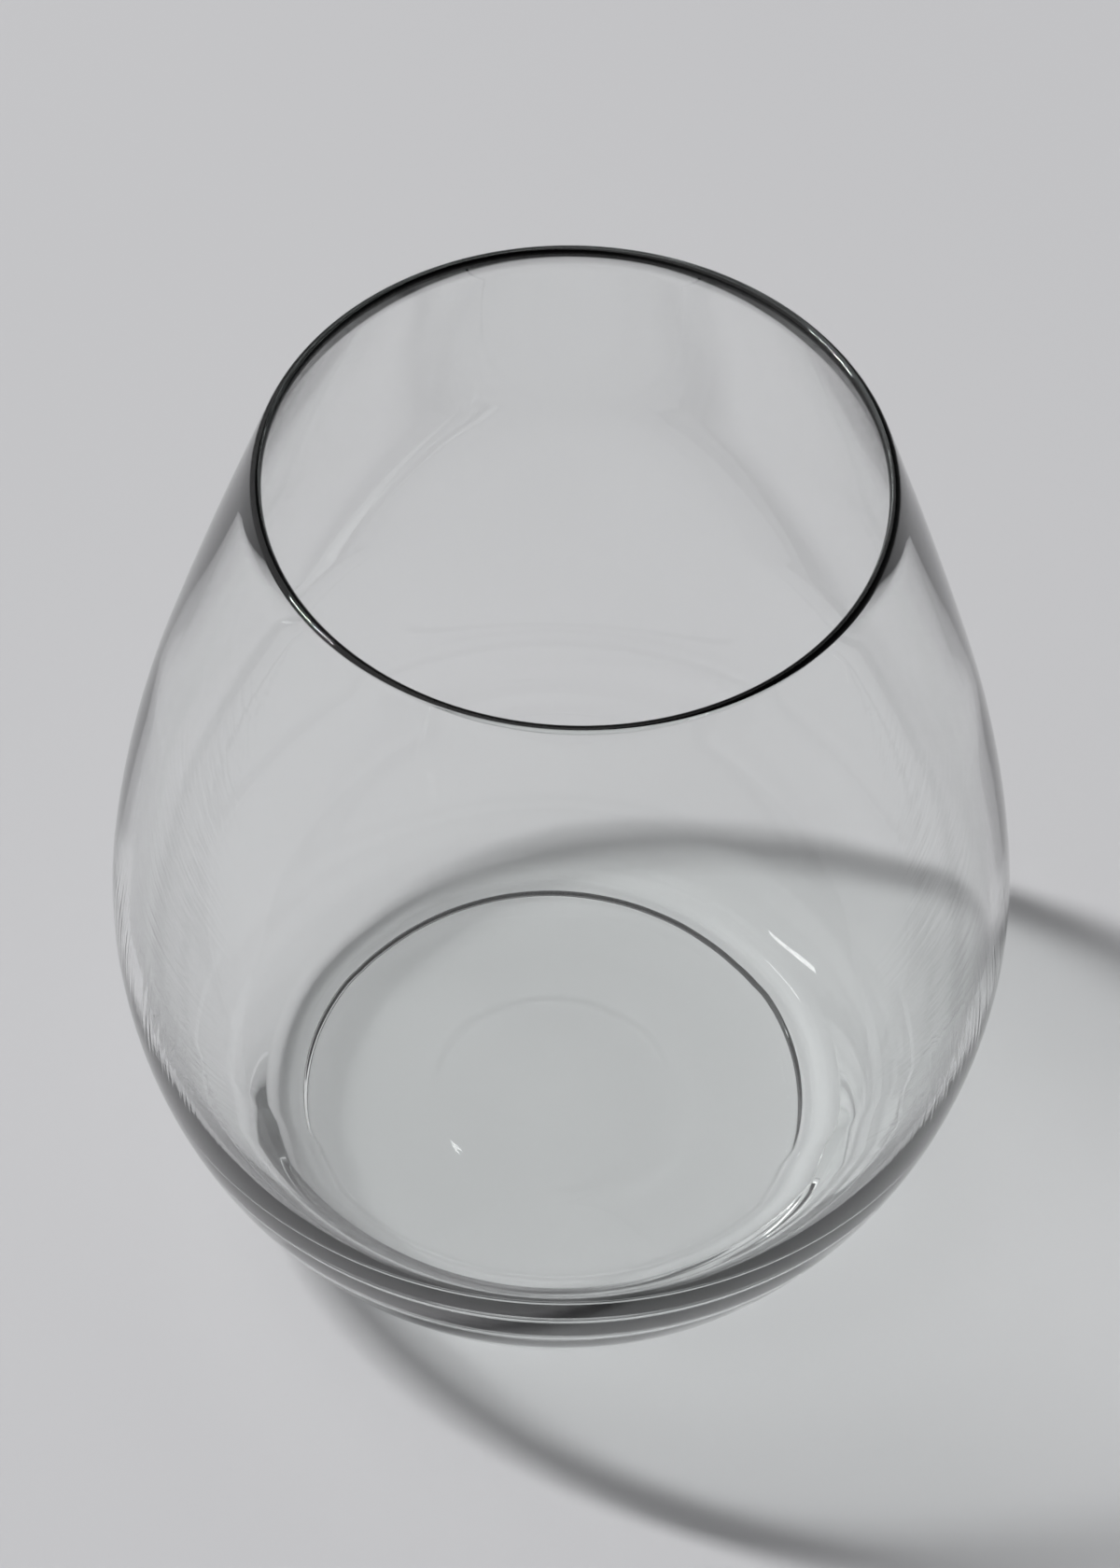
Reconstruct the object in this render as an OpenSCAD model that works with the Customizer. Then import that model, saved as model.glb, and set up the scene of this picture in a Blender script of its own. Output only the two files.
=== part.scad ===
/* [Overall] */
// Height from the contact ring to the top of the lip
total_h = 105.8; // [90:0.1:115]
// Outer diameter of the lip
rim_d = 66; // [62:0.5:70]
// Outer diameter at the widest place
belly_d = 96.5; // [94:0.5:99]
// Height of the widest place above the contact ring, as a share of the total height
belly_z_share = 0.386; // [0.36:0.002:0.41]

/* [Outer curve] */
// Radius of the arc that forms the belly
belly_arc_r = 60; // [57:0.5:64]
// Radius of the flatter arc above the belly
shoulder_arc_r = 148; // [120:1:160]
// Angle above the widest place at which the flatter arc takes over
shoulder_start_angle = 6.2; // [4:0.1:8]
// Angle at which it passes into the nearly straight upper wall
shoulder_end_angle = 15.5; // [13:0.1:16]
// Radius of the rounded heel that carries the belly into the contact ring
heel_arc_r = 5.2; // [4:0.1:8]

/* [Inner curve] */
// Wall thickness at the lip
rim_wall = 1.25; // [1.1:0.05:1.6]
// Wall thickness at the widest place
belly_wall = 1.75; // [1.5:0.05:2.2]
// Radius of the inner belly arc below the widest place
inner_belly_arc_r = 48.6; // [47:0.1:52]
// Length by which the inner radii above it exceed those of an even wall, so that the wall thins upwards
wall_taper_r = 4.8; // [3:0.1:6]
// Radius of the bend from the inner wall into the floor
inner_heel_arc_r = 12.2; // [10:0.1:15]
// Radius of the shallow dish of the floor
floor_arc_r = 220; // [150:5:300]
// Glass thickness at the middle of the floor, above the contact plane
floor_z = 4.6; // [4:0.1:6]

/* [Underside] */
// Width of the flat contact ring
contact_w = 0.9; // [0.7:0.1:1.5]
// Width of the round-over between the contact ring and the recess
recess_edge_w = 1.3; // [0.9:0.1:1.8]
// Height of the recessed underside above the contact plane
recess_h = 0.6; // [0.4:0.05:0.9]
// Further rise of the underside from its edge to its middle
underside_rise = 0.6; // [0.3:0.1:0.9]
// Diameter of the shallow mould ring in the middle of the underside
mould_ring_d = 27; // [20:1:32]
// Width of the mould ring
mould_ring_w = 2; // [1.2:0.1:3]
// Depth of the mould ring
mould_ring_depth = 0.25; // [0.1:0.05:0.3]

/* [Zones] */
// Height at which the heavy base passes into the bowl wall
base_top_z = 16; // [14:0.5:20]
// Height of the fire-finished lip zone
rim_zone_h = 2.4; // [1.5:0.1:4]

/* [Hidden] */
glass_colour = [0.82, 0.9, 0.88, 0.35];
turn_faces = 72;
heel_steps = 8;
belly_steps = 12;
upper_steps = 2;
shoulder_steps = 4;
wall_steps = 3;
lip_steps = 8;
floor_steps = 4;
edge_steps = 4;

// The lip is a half round as thick as the wall below it
lip_r = rim_wall / 2;
lip_centre = [rim_d / 2 - lip_r, total_h - lip_r];
rim_bottom_z = total_h - rim_zone_h;

// Centres of the outer arcs, each tangent to the next
belly_z = total_h * belly_z_share;
belly_centre = [belly_d / 2 - belly_arc_r, belly_z];
shoulder_centre = next_centre(belly_centre, belly_arc_r, shoulder_arc_r, shoulder_start_angle);
heel_centre = [
    belly_centre.x + leg(belly_arc_r - heel_arc_r, belly_z - heel_arc_r),
    heel_arc_r
];

// Radii and centres of the inner arcs; the inner heel touches the belly arc and the dish of the floor
inner_upper_arc_r = belly_arc_r - belly_wall + wall_taper_r;
inner_shoulder_arc_r = shoulder_arc_r - belly_wall + wall_taper_r;
inner_upper_centre = [belly_d / 2 - belly_wall - inner_upper_arc_r, belly_z];
inner_belly_centre = [belly_d / 2 - belly_wall - inner_belly_arc_r, belly_z];
inner_shoulder_centre =
    next_centre(inner_upper_centre, inner_upper_arc_r, inner_shoulder_arc_r, shoulder_start_angle);
floor_centre = [0, floor_z + floor_arc_r];
inner_heel_centre = meet(
    floor_centre, floor_arc_r - inner_heel_arc_r,
    inner_belly_centre, inner_belly_arc_r - inner_heel_arc_r
);

// The upper wall's last arcs, which run from the shoulder arcs into the two sides of the lip
wall_r = wall_reach(shoulder_centre, shoulder_arc_r - lip_r) + lip_r;
inner_wall_r = wall_reach(inner_shoulder_centre, inner_shoulder_arc_r + lip_r) - lip_r;
wall_centre = next_centre(shoulder_centre, shoulder_arc_r, wall_r, shoulder_end_angle);
inner_wall_centre =
    next_centre(inner_shoulder_centre, inner_shoulder_arc_r, inner_wall_r, shoulder_end_angle);
lean = wall_lean(shoulder_centre, shoulder_arc_r - lip_r);
inner_lean = wall_lean(inner_shoulder_centre, inner_shoulder_arc_r + lip_r);

// The underside, from the middle out to the contact ring
contact_inner_r = heel_centre.x - contact_w;
underside_r = contact_inner_r - recess_edge_w;
mould_ring_inner_r = (mould_ring_d - mould_ring_w) / 2;
mould_ring_outer_r = (mould_ring_d + mould_ring_w) / 2;

// How far a cutting outline runs past the glass
overrun = rim_wall;

// Points of a round stretch without its first, which ends the stretch before it
function arc(centre, r, from, to, steps) =
    [for (i = [1:steps]) centre + r * way(from + (to - from) * i / steps)];

function way(angle) = [cos(angle), sin(angle)];

function angle_of(v) = atan2(v.y, v.x);

// Second leg of a right triangle
function leg(hypotenuse, other) = sqrt(hypotenuse * hypotenuse - other * other);

// Centre of an arc that carries on from another at an angle without a corner
function next_centre(centre, r, next_r, angle) = centre + (r - next_r) * way(angle);

// Way from the end of the shoulder arc, moved by the lip's radius, to the lip's centre
function to_lip(centre, r) = lip_centre - centre - r * way(shoulder_end_angle);

// Angle at which an arc along that way, tangent at its start, reaches the lip, and the arc's radius
function wall_lean(centre, r) =
    2 * (angle_of(to_lip(centre, r)) - 90) - shoulder_end_angle;
function wall_reach(centre, r) =
    norm(to_lip(centre, r)) / (2 * sin((wall_lean(centre, r) - shoulder_end_angle) / 2));

// Point at given distances from two points, to the right of the way from the second to the first
function meet(p, p_dist, q, q_dist) =
    let (
        gap = norm(q - p),
        line = (q - p) / gap,
        along = (p_dist * p_dist - q_dist * q_dist + gap * gap) / (2 * gap)
    )
    p + along * line + leg(p_dist, along) * [-line.y, line.x];

// Smooth step from 0 to 1
function ease(t) = (1 - cos(180 * t)) / 2;

// Height of the shallow dome under the floor, at a distance from the axis
function dome_z(r) = recess_h + underside_rise * (1 - pow(r / underside_r, 2));

function underside() = concat(
    [[0, dome_z(0) + mould_ring_depth]],
    [for (i = [0:edge_steps])
        let (t = i / edge_steps, r = mould_ring_inner_r + mould_ring_w * t)
        [r, dome_z(r) + mould_ring_depth * (1 - ease(t))]],
    [for (i = [1:floor_steps])
        let (r = mould_ring_outer_r + (underside_r - mould_ring_outer_r) * i / floor_steps)
        [r, dome_z(r)]],
    [for (i = [1:edge_steps])
        let (t = i / edge_steps)
        [underside_r + recess_edge_w * t, recess_h * (1 - ease(t))]],
    [[heel_centre.x, 0]]
);

function outside() =
    let (heel_angle = angle_of(heel_centre - belly_centre))
    concat(
        arc(heel_centre, heel_arc_r, -90, heel_angle, heel_steps),
        arc(belly_centre, belly_arc_r, heel_angle, 0, belly_steps),
        arc(belly_centre, belly_arc_r, 0, shoulder_start_angle, upper_steps),
        arc(shoulder_centre, shoulder_arc_r, shoulder_start_angle, shoulder_end_angle, shoulder_steps),
        arc(wall_centre, wall_r, shoulder_end_angle, lean, wall_steps)
    );

function inside() =
    let (
        heel_angle = angle_of(inner_heel_centre - inner_belly_centre),
        floor_angle = angle_of(inner_heel_centre - floor_centre)
    )
    concat(
        arc(inner_wall_centre, inner_wall_r, inner_lean, shoulder_end_angle, wall_steps),
        arc(
            inner_shoulder_centre, inner_shoulder_arc_r,
            shoulder_end_angle, shoulder_start_angle, shoulder_steps
        ),
        arc(inner_upper_centre, inner_upper_arc_r, shoulder_start_angle, 0, upper_steps),
        arc(inner_belly_centre, inner_belly_arc_r, 0, heel_angle, belly_steps),
        arc(inner_heel_centre, inner_heel_arc_r, heel_angle, floor_angle, heel_steps),
        arc(floor_centre, floor_arc_r, floor_angle, -90, floor_steps)
    );

function lip() = arc(lip_centre, lip_r, lean, inner_lean + 180, lip_steps);

// The part of the turned glass that lies between two heights
module zone(from_z, to_z) {
    rotate_extrude($fn = turn_faces)
        intersection() {
            polygon(concat(underside(), outside(), lip(), inside()));
            translate([0, from_z])
                square([belly_d, to_z - from_z]);
        }
}

// Heavy bottom: contact ring, recessed underside, rounded heel and dished floor
module base() {
    color(glass_colour)
        zone(-overrun, base_top_z);
}

// Thin blown wall: belly, shoulder and straight upper wall
module bowl() {
    color(glass_colour)
        zone(base_top_z, rim_bottom_z);
}

// Fire-finished lip
module rim() {
    color(glass_colour)
        zone(rim_bottom_z, total_h + overrun);
}

base();
bowl();
rim();
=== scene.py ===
from math import atan2, cos, pi, radians, sin, sqrt

import bpy
from mathutils import Matrix, Vector


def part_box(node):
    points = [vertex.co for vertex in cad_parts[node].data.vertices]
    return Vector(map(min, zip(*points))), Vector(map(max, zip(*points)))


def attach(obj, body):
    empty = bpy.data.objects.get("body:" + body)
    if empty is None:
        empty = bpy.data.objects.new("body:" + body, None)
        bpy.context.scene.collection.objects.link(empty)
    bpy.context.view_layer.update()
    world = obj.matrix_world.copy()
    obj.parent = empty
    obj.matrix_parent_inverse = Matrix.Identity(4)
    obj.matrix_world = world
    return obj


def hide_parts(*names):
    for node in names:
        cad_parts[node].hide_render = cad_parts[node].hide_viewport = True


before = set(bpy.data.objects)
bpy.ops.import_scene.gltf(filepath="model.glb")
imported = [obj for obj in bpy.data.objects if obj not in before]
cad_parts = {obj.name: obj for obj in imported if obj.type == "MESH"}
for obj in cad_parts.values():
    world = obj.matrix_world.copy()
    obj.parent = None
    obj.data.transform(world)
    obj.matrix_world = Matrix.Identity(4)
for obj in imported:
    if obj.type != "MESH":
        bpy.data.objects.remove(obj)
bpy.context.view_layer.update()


# Camera: a long lens that looks down into the mouth from in front of the glass, rolled a little.
# Its place was solved from the ellipse of the lip in a frame of 1200 by 1680 pixels.
MM = 0.001
photo_height_px = 1680
focal_length_px = 8000
sensor_mm = 36
nearest_seen = 10 * MM
camera_place = Vector((-0.1, -500.7, 670.5)) * MM
camera_turn = radians(0.044)
camera_pitch = radians(50.765)
camera_roll = radians(2.058)

camera_data = bpy.data.cameras.new("camera")
camera_data.sensor_width = sensor_mm
camera_data.lens = focal_length_px / photo_height_px * sensor_mm
camera_data.clip_start = nearest_seen
camera = bpy.data.objects.new("camera", camera_data)
camera.matrix_world = (
    Matrix.Translation(camera_place)
    @ Matrix.Rotation(camera_turn, 4, "Z")
    @ Matrix.Rotation(pi / 2 - camera_pitch, 4, "X")
    @ Matrix.Rotation(camera_roll, 4, "Z")
)
bpy.context.scene.collection.objects.link(camera)
bpy.context.scene.camera = camera
bpy.context.scene.view_settings.view_transform = "Standard"


# Floor: a plain pale board that reaches past every view of the glass.
# It is matt card, with a slow drift of tone and nothing on it.
class Line:
    """The value that leaves a node; sums, products and the like add their own Math nodes."""

    def __init__(self, tree, socket):
        self.tree = tree
        self.socket = socket

    def math(self, operation, *others):
        return add_node(self.tree, "ShaderNodeMath", {"operation": operation}, [self, *others])

    def __add__(self, other):
        return self.math("ADD", other)

    def __sub__(self, other):
        return self.math("SUBTRACT", other)

    def __rsub__(self, other):
        return self * -1 + other

    def __mul__(self, other):
        return self.math("MULTIPLY", other)

    def __truediv__(self, other):
        return self.math("DIVIDE", other)

    def __rtruediv__(self, other):
        return self.math("POWER", -1) * other

    __radd__ = __add__
    __rmul__ = __mul__

    def slope(self, start, end, curve="LINEAR"):
        """0 as far as the start, 1 past the end and a slope between; the end may be the lower of the two."""
        stretch = {"Value": self, "From Min": start, "From Max": end}
        return add_node(self.tree, "ShaderNodeMapRange", {"interpolation_type": curve}, stretch)

    def blend(self, first, second):
        """The first colour where the line is 0 and the second where it is 1."""
        share_socket, first_socket, second_socket, colour_output = 0, 6, 7, 2
        colours = {share_socket: self, first_socket: first, second_socket: second}
        return add_node(self.tree, "ShaderNodeMix", {"data_type": "RGBA"}, colours, colour_output)

    def noise(self, scale, detail):
        """Cloudy noise around one half that is read at the place the line gives."""
        values = {"Vector": self, "Scale": scale, "Detail": detail}
        return add_node(self.tree, "ShaderNodeTexNoise", {}, values)


def add_node(tree, kind, settings, values, output=0):
    """Adds a node of a kind: its settings first, then the lines or plain values of its sockets."""
    made = tree.nodes.new(kind)
    for name, value in settings.items():
        setattr(made, name, value)
    for name, value in values.items() if isinstance(values, dict) else enumerate(values):
        if isinstance(value, Line):
            tree.links.new(value.socket, made.inputs[name])
        else:
            made.inputs[name].default_value = value
    return Line(tree, made.outputs[output]) if made.outputs else None


def new_material(name):
    material = bpy.data.materials.new(name)
    material.use_nodes = True
    material.node_tree.nodes.clear()
    return material, material.node_tree


floor_half = 30
floor_light = (0.62, 0.62, 0.63, 1)
floor_dark = (0.58, 0.58, 0.595, 1)
drift_scale = 4
drift_detail = 1
card_roughness = 0.85
floor_corners = [(x * floor_half, y * floor_half, 0) for x, y in ((-1, -1), (1, -1), (1, 1), (-1, 1))]
floor_mesh = bpy.data.meshes.new("floor")
floor_mesh.from_pydata(floor_corners, [], [range(len(floor_corners))])
floor = bpy.data.objects.new("floor", floor_mesh)
bpy.context.scene.collection.objects.link(floor)

card, tree = new_material("floor_card")
place = add_node(tree, "ShaderNodeTexCoord", {}, {}, "Object")
tone = place.noise(drift_scale, drift_detail).blend(floor_light, floor_dark)
surface = add_node(tree, "ShaderNodeBsdfPrincipled", {}, {"Base Color": tone, "Roughness": card_roughness})
add_node(tree, "ShaderNodeOutputMaterial", {}, {"Surface": surface})
floor_mesh.materials.append(card)


# Light: a tall narrow lamp on the left behind the glass, like a window, with a soft glow of sky round it.
# The room is dim and nearly black overhead, which draws the lip and the heavy bottom.
# Light is followed through nine turns in the glass; the lip leads it on for longer, and so stays dark.
lamp_width = 0.45
lamp_height = 3.0
lamp_power = 800
lamp_place = Vector((-6.3, 2.1, 7.7))
room_side = (0.2, 0.2, 0.205, 1)
room_top = (0.02, 0.02, 0.02, 1)
room_dark_from = 0.8
sky_glow = (0.7, 0.7, 0.71, 1)
glow_reach = radians(50)
glow_full = radians(40)
turns_in_glass = 9

lamp_data = bpy.data.lights.new("window", "AREA")
lamp_data.shape = "RECTANGLE"
lamp_data.size = lamp_width
lamp_data.size_y = lamp_height
lamp_data.energy = lamp_power
lamp = bpy.data.objects.new("window", lamp_data)
lamp_turn = lamp_place.to_track_quat("Z", "Y").to_matrix().to_4x4()
lamp.matrix_world = Matrix.Translation(lamp_place) @ lamp_turn
bpy.context.scene.collection.objects.link(lamp)

room = bpy.data.worlds.new("room")
room.use_nodes = True
tree = room.node_tree
tree.nodes.clear()
bpy.context.scene.world = room
way = add_node(tree, "ShaderNodeTexCoord", {}, {}, "Generated")
height = add_node(tree, "ShaderNodeSeparateXYZ", {}, [way], "Z")
walls = height.slope(0, room_dark_from).blend(room_side, room_top)
to_lamp = [way, lamp_place.normalized()]
nearness = add_node(tree, "ShaderNodeVectorMath", {"operation": "DOT_PRODUCT"}, to_lamp, "Value")
around = nearness.slope(cos(glow_reach), cos(glow_full)).blend(walls, sky_glow)
light = add_node(tree, "ShaderNodeBackground", {}, {"Color": around, "Strength": 1.0})
add_node(tree, "ShaderNodeOutputWorld", {}, {"Surface": light})

light_path = bpy.context.scene.cycles
light_path.max_bounces = turns_in_glass
light_path.glossy_bounces = turns_in_glass
light_path.transmission_bounces = turns_in_glass


# The glass: one seamless body of clear soda-lime glass, blown in a turning mould and cracked off.
# The thin wall thickens into a heavy rounded bottom that stands on a narrow ring; the lip is fire finished.
# Half of its section is made of arcs that run into each other, and the section is then turned once round.
total_h = 105.8 * MM
belly_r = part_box("bowl")[1].x
rim_r = 33 * MM
belly_z_share = 0.386
belly_z = belly_z_share * total_h
belly_arc_r = 60 * MM
shoulder_arc_r = 148 * MM
heel_arc_r = 5.2 * MM
shoulder_start = radians(6.2)
shoulder_end = radians(15.5)
rim_wall = 1.25 * MM
belly_wall = 1.75 * MM
wall_taper_r = 4.8 * MM
inner_upper_arc_r = belly_arc_r - belly_wall + wall_taper_r
inner_shoulder_arc_r = shoulder_arc_r - belly_wall + wall_taper_r
inner_belly_arc_r = 48.6 * MM
inner_heel_arc_r = 12.2 * MM
floor_arc_r = 220 * MM
floor_z = 4.6 * MM
contact_w = 0.9 * MM
recess_edge_w = 1.3 * MM
recess_h = 0.6 * MM
underside_rise = 0.6 * MM
mould_ring_r = 13.5 * MM
mould_ring_w = 2 * MM
mould_ring_depth = 0.25 * MM
lip_r = rim_wall / 2
lip_centre = Vector((rim_r - lip_r, total_h - lip_r))
middle_steps = 8
mould_ring_steps = 8
dome_steps = 10
recess_edge_steps = 12
heel_steps = 24
belly_steps = 40
shoulder_steps = 10
wall_steps = 10
lip_steps = 16
inner_upper_steps = 5
inner_belly_steps = 36
inner_heel_steps = 24
floor_steps = 12
turn_steps = 384
ripple_h = 0.01 * MM
ripple_length = 8 * MM
ripple_squash = 0.15
ripple_detail = 1
ripple_middle = 0.5
axis_guard = 1 * MM
rounding_guard = 0.0001
seam_gap = 0.002 * MM


def way_of(angle):
    return Vector((cos(angle), sin(angle)))


def angle_of(vector):
    return atan2(vector.y, vector.x)


def shares(steps):
    """How far along a stretch its points lie, without its first, which ends the stretch before it."""
    return [i / steps for i in range(1, steps + 1)]


def arc(centre, radius, start, end, steps):
    return [centre + radius * way_of(start + (end - start) * share) for share in shares(steps)]


def meet(p, p_reach, q, q_reach):
    """The point at two distances from two others, on the left of the way from the first to the second."""
    gap = (q - p).length
    line = (q - p) / gap
    along = (p_reach**2 - q_reach**2 + gap**2) / (2 * gap)
    return p + along * line + sqrt(p_reach**2 - along**2) * Vector((-line.y, line.x))


def side_arcs(wall_at_belly, belly_arc, shoulder_arc, lip_side):
    """Centres of one face's belly, shoulder and upper wall, and the upper wall's radius and end."""
    belly = Vector((belly_r - wall_at_belly - belly_arc, belly_z))
    shoulder = belly + (belly_arc - shoulder_arc) * way_of(shoulder_start)
    to_lip = lip_centre - shoulder - (shoulder_arc - lip_side * lip_r) * way_of(shoulder_end)
    wall_end = 2 * (angle_of(to_lip) - pi / 2) - shoulder_end
    wall_r = to_lip.length / (2 * sin((wall_end - shoulder_end) / 2)) + lip_side * lip_r
    wall = shoulder + (shoulder_arc - wall_r) * way_of(shoulder_end)
    return belly, shoulder, wall, wall_r, wall_end


def ease(t):
    return (1 - cos(pi * t)) / 2


def underside(heel):
    """Points from the axis over the mould ring, the dome and the recess's edge to the contact ring."""
    dome_r = heel.x - contact_w - recess_edge_w
    ring_inner_r = mould_ring_r - mould_ring_w / 2
    ring_outer_r = mould_ring_r + mould_ring_w / 2

    def dome(r, lift=0):
        return Vector((r, recess_h + underside_rise * (1 - (r / dome_r) ** 2) + lift))

    points = [dome(mould_ring_r * i / middle_steps, mould_ring_depth) for i in range(middle_steps)]
    # The last of these stands back from the slope of the ring
    points[-1].x -= mould_ring_w / 2
    for share in [0, *shares(mould_ring_steps)]:
        points.append(dome(ring_inner_r + mould_ring_w * share, mould_ring_depth * (1 - ease(share))))
    for share in shares(dome_steps):
        points.append(dome(ring_outer_r + (dome_r - ring_outer_r) * share))
    for share in shares(recess_edge_steps):
        points.append(Vector((dome_r + recess_edge_w * share, recess_h * (1 - ease(share)))))
    points.append(Vector((heel.x - contact_w / 2, 0)))
    points.append(Vector((heel.x, 0)))
    return points


def half_section():
    """Points from the middle of the underside, out round the lip and back to the middle of the floor."""
    belly, shoulder, wall, wall_r, wall_end = side_arcs(0, belly_arc_r, shoulder_arc_r, 1)
    heel_reach = belly_arc_r - heel_arc_r
    heel_drop = belly_z - heel_arc_r
    heel = Vector((belly.x + sqrt(heel_reach**2 - heel_drop**2), heel_arc_r))
    heel_angle = angle_of(heel - belly)
    points = underside(heel)
    points += arc(heel, heel_arc_r, -pi / 2, heel_angle, heel_steps)
    points += arc(belly, belly_arc_r, heel_angle, shoulder_start, belly_steps)
    points += arc(shoulder, shoulder_arc_r, shoulder_start, shoulder_end, shoulder_steps)
    points += arc(wall, wall_r, shoulder_end, wall_end, wall_steps)

    upper_in, shoulder_in, wall_in, wall_in_r, wall_in_end = side_arcs(
        belly_wall, inner_upper_arc_r, inner_shoulder_arc_r, -1
    )
    dish = Vector((0, floor_z + floor_arc_r))
    belly_in = Vector((belly_r - belly_wall - inner_belly_arc_r, belly_z))
    dish_reach = floor_arc_r - inner_heel_arc_r
    heel_in = meet(dish, dish_reach, belly_in, inner_belly_arc_r - inner_heel_arc_r)
    heel_in_angle = angle_of(heel_in - belly_in)
    dish_angle = angle_of(heel_in - dish)
    points += arc(lip_centre, lip_r, wall_end, wall_in_end + pi, lip_steps)
    inner_row = len(points)
    points += arc(wall_in, wall_in_r, wall_in_end, shoulder_end, wall_steps)
    points += arc(shoulder_in, inner_shoulder_arc_r, shoulder_end, shoulder_start, shoulder_steps)
    points += arc(upper_in, inner_upper_arc_r, shoulder_start, 0, inner_upper_steps)
    points += arc(belly_in, inner_belly_arc_r, 0, heel_in_angle, inner_belly_steps)
    points += arc(heel_in, inner_heel_arc_r, heel_in_angle, dish_angle, inner_heel_steps)
    points += arc(dish, floor_arc_r, dish_angle, -pi / 2, floor_steps)
    return points, inner_row


def turning_tree():
    """Geometry nodes that turn a half section round the upright axis and close its seam and poles."""
    group = bpy.data.node_groups.new("turned_glass", "GeometryNodeTree")
    inputs = {
        "Section": "NodeSocketGeometry",
        "Turn steps": "NodeSocketInt",
        "Inner row": "NodeSocketInt",
        "Ripple height": "NodeSocketFloat",
        "Ripple length": "NodeSocketFloat",
        "Glass": "NodeSocketMaterial",
    }
    for name, kind in inputs.items():
        group.interface.new_socket(name, in_out="INPUT", socket_type=kind)
    group.interface.new_socket("Geometry", in_out="OUTPUT", socket_type="NodeSocketGeometry")
    entry = group.nodes.new("NodeGroupInput")
    section, steps, inner_row, wave_height, wave_length, glass = [
        Line(group, socket) for socket in entry.outputs[:len(inputs)]
    ]

    # A sheet of points: each row is one point of the section, each column one step of the turn
    whole_mesh = {"component": "MESH"}
    count = add_node(group, "GeometryNodeAttributeDomainSize", whole_mesh, [section], "Point Count")
    columns = steps + 1
    sheet = add_node(group, "GeometryNodeMeshGrid", {}, {"Vertices X": count, "Vertices Y": columns})
    index = add_node(group, "GeometryNodeInputIndex", {}, {})
    row = (index / columns + rounding_guard).math("FLOOR")
    turn = (index - row * columns) / steps * (-2 * pi)
    where = add_node(group, "GeometryNodeInputPosition", {}, {})
    at_row = {"Geometry": section, "Value": where, "Index": row}
    point = add_node(group, "GeometryNodeSampleIndex", {"data_type": "FLOAT_VECTOR"}, at_row)
    radius, level = [add_node(group, "ShaderNodeSeparateXYZ", {}, [point], axis) for axis in "XZ"]
    x = radius * turn.math("COSINE")
    y = radius * turn.math("SINE")

    # The inner wall waves slightly, in ripples that run up it, because no mould touches it
    on_wall = add_node(group, "ShaderNodeCombineXYZ", {}, [x, y, level * ripple_squash])
    wave = on_wall.noise(1 / wave_length, ripple_detail) - ripple_middle
    inside = row.math("GREATER_THAN", inner_row)
    stretch = 1 + wave * wave_height * (inside / (radius + axis_guard))
    place = add_node(group, "ShaderNodeCombineXYZ", {}, [x * stretch, y * stretch, level])
    turned = add_node(group, "GeometryNodeSetPosition", {}, {"Geometry": sheet, "Position": place})
    closed = add_node(group, "GeometryNodeMergeByDistance", {}, {"Geometry": turned, "Distance": seam_gap})
    smooth = add_node(group, "GeometryNodeSetShadeSmooth", {}, {"Geometry": closed})
    real = add_node(group, "GeometryNodeRealizeInstances", {}, [smooth])
    dressed = add_node(group, "GeometryNodeSetMaterial", {}, {"Geometry": real, "Material": glass})
    leave = group.nodes.new("NodeGroupOutput")
    group.links.new(dressed.socket, leave.inputs["Geometry"])
    return group


glass_ior = 1.52
tint_light = (0.995, 1.0, 0.997, 1)
tint_deep = (0.985, 0.99, 0.986, 1)
cloud_scale = 30
cloud_detail = 2
depth_colour = (0.82, 0.92, 0.88, 1)
depth_density = 4.0
folds_round = 70
folds_up = 25
fold_detail = 1
fold_height = 0.03 * MM
fold_from = 34 * MM
fold_full = 46 * MM
fold_top = 52 * MM
fold_low = 32 * MM
facing_blend = 0.5
passes_below = 0.62
held_above = 0.85
passing_tint = (0.95, 0.955, 0.952, 1)
clear_glass, tree = new_material("clear_glass")
place = add_node(tree, "ShaderNodeTexCoord", {}, {}, "Object")
tint = place.noise(cloud_scale, cloud_detail).blend(tint_light, tint_deep)

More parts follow.
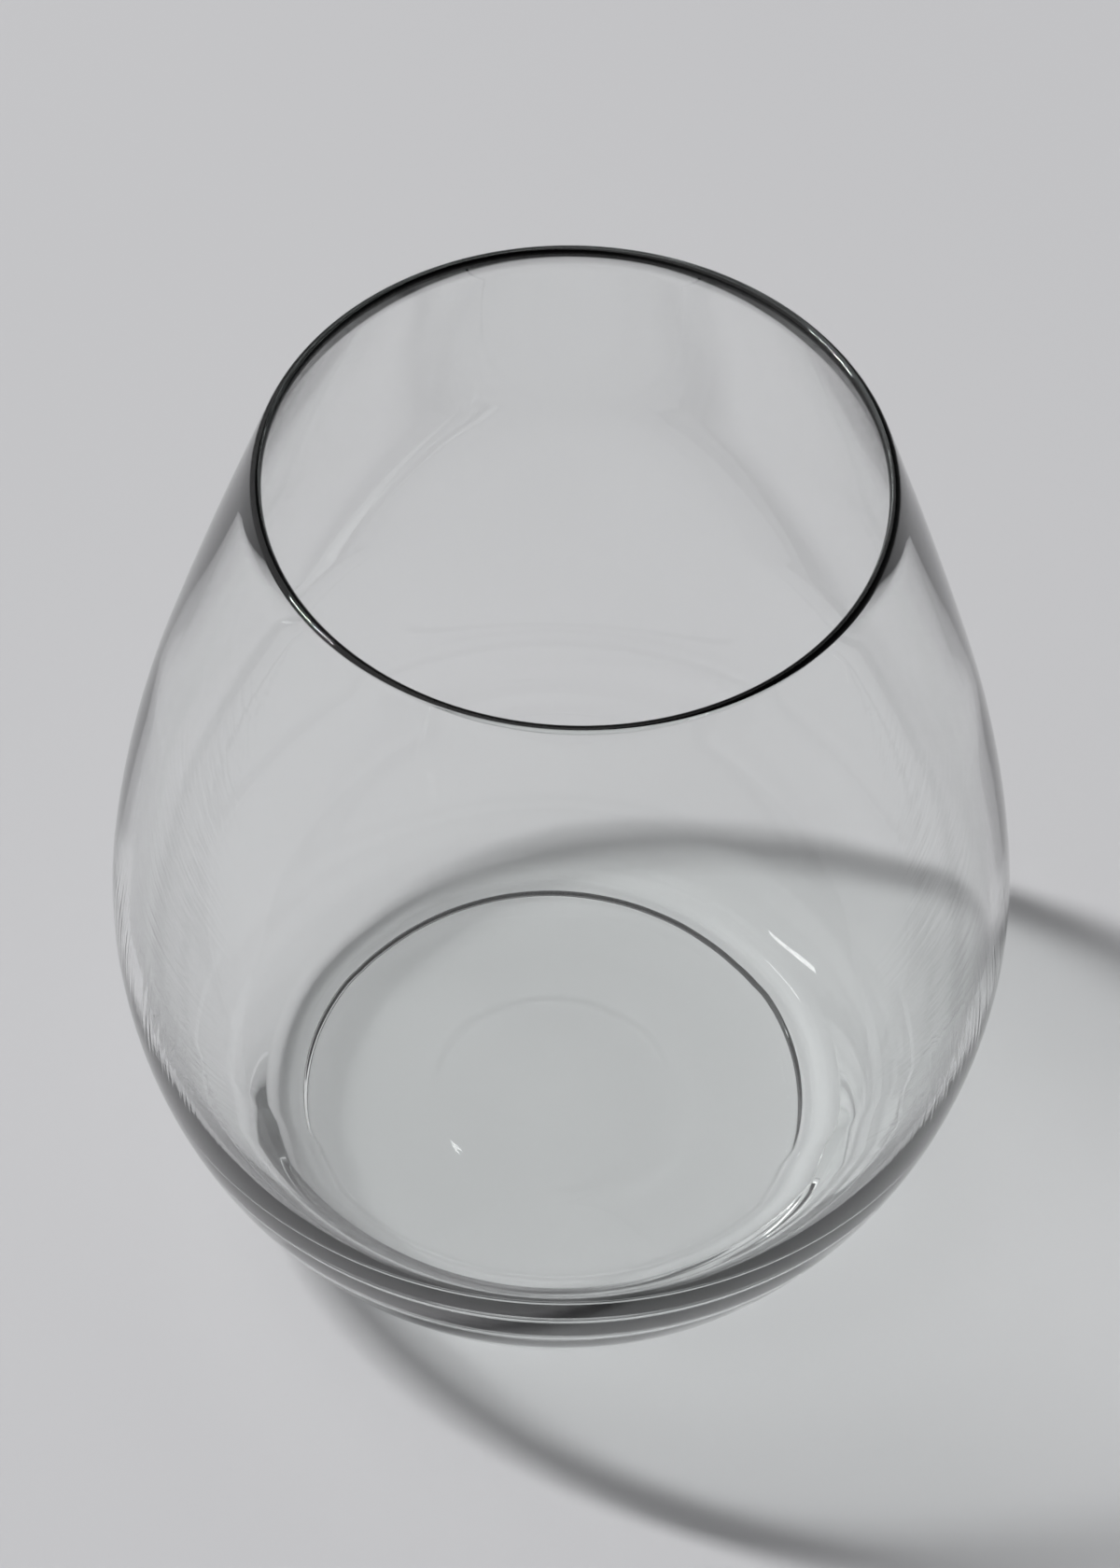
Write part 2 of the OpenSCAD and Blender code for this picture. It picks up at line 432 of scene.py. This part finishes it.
# Faint upright folds low on two sides of the belly, where the hot glass dragged in the mould
x, y, z = [add_node(tree, "ShaderNodeSeparateXYZ", {}, [place], axis) for axis in "XYZ"]
level_place = add_node(tree, "ShaderNodeCombineXYZ", {}, [x, y, 0])
outward = add_node(tree, "ShaderNodeVectorMath", {"operation": "NORMALIZE"}, [level_place])
climb = add_node(tree, "ShaderNodeCombineXYZ", {}, [0, 0, z * folds_up])
fold_terms = [outward, (folds_round, folds_round, 0), climb]
fold_place = add_node(tree, "ShaderNodeVectorMath", {"operation": "MULTIPLY_ADD"}, fold_terms)
at_side = x.math("ABSOLUTE").slope(fold_from, fold_full)
folds = fold_place.noise(1, fold_detail) * at_side * z.slope(fold_top, fold_low)
drawn = add_node(tree, "ShaderNodeBump", {}, {"Height": folds, "Strength": 1, "Distance": fold_height})
surface = add_node(tree, "ShaderNodeBsdfPrincipled", {}, {
    "Base Color": tint,
    "Roughness": 0.0,
    "IOR": glass_ior,
    "Transmission Weight": 1.0,
    "Normal": drawn,
})

# Light on its way to the floor passes where it meets the glass squarely and is held back near the outline
edge = add_node(tree, "ShaderNodeLayerWeight", {}, {"Blend": facing_blend}, "Facing")
from_lamp = add_node(tree, "ShaderNodeLightPath", {}, {}, "Is Shadow Ray")
from_floor = add_node(tree, "ShaderNodeLightPath", {}, {}, "Is Diffuse Ray")
passes = edge.slope(held_above, passes_below, "SMOOTHSTEP") * from_lamp.math("MAXIMUM", from_floor)
passing = add_node(tree, "ShaderNodeBsdfTransparent", {}, {"Color": passing_tint})
whole = add_node(tree, "ShaderNodeMixShader", {}, [passes, surface, passing])
depth = add_node(tree, "ShaderNodeVolumeAbsorption", {}, {"Color": depth_colour, "Density": depth_density})
add_node(tree, "ShaderNodeOutputMaterial", {}, {"Surface": whole, "Volume": depth})

section, inner_row = half_section()
section_corners = [(point.x, 0, point.y) for point in section]
section_edges = [(i, i + 1) for i in range(len(section) - 1)]
section_mesh = bpy.data.meshes.new("glass_section")
section_mesh.from_pydata(section_corners, section_edges, [])
section_piece = bpy.data.objects.new("glass_section", section_mesh)
bpy.context.scene.collection.objects.link(section_piece)
turning = section_piece.modifiers.new("turning", "NODES")
turning.node_group = turning_tree()
chosen = {
    "Turn steps": turn_steps,
    "Inner row": inner_row,
    "Ripple height": ripple_h,
    "Ripple length": ripple_length,
    "Glass": clear_glass,
}
for item in turning.node_group.interface.items_tree:
    if item.name in chosen:
        turning[item.identifier] = chosen[item.name]
turned = section_piece.evaluated_get(bpy.context.evaluated_depsgraph_get())
glass = bpy.data.objects.new("glass_body", bpy.data.meshes.new_from_object(turned))
bpy.data.objects.remove(section_piece)
bpy.context.scene.collection.objects.link(glass)
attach(glass, "root")
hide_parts("base", "bowl", "rim")
